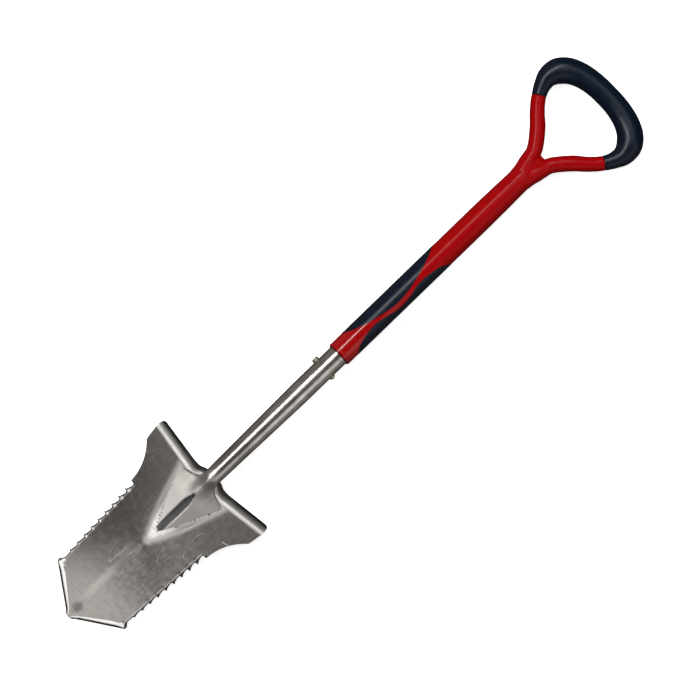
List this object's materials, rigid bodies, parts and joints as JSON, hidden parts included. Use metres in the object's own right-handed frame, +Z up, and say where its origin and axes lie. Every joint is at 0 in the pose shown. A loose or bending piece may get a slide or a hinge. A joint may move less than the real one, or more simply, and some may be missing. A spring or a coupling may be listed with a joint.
{
  "type": "detecting shovel",
  "caption": "Stainless steel detecting shovel with a pointed serrated blade, turned-back treads, tubular socket and a red and blue plastic D handle.",
  "frame": {"origin": "under the middle of the length and width, at floor level, with the shovel lying face up", "axes": "+Y from the blade's tip to the grip, +Z up out of the blade's face, +X across the blade"},
  "size_m": [0.1658, 0.8416, 0.0357],
  "materials": {
    "steel_blade": "brushed",
    "steel_socket": "polished",
    "steel_weld": "ground",
    "steel_core": "plain",
    "zinc_bolt": "yellow zinc plate",
    "red_plastic": "glossy",
    "blue_grip": "satin",
    "blue_inlay": "satin",
    "plug_plastic": "matt"
  },
  "bodies": {
    "root": {"blade": "steel_blade", "socket": "steel_socket", "weld": "steel_weld", "core_tube": "steel_core", "core_plug": "plug_plastic", "cross_bolt": "zinc_bolt", "bolt_nut": "zinc_bolt", "handle_moulding": "red_plastic", "grip_cover": "blue_grip", "shaft_inlay_left": "blue_inlay", "shaft_inlay_right": "blue_inlay"}
  },
  "joints": []
}
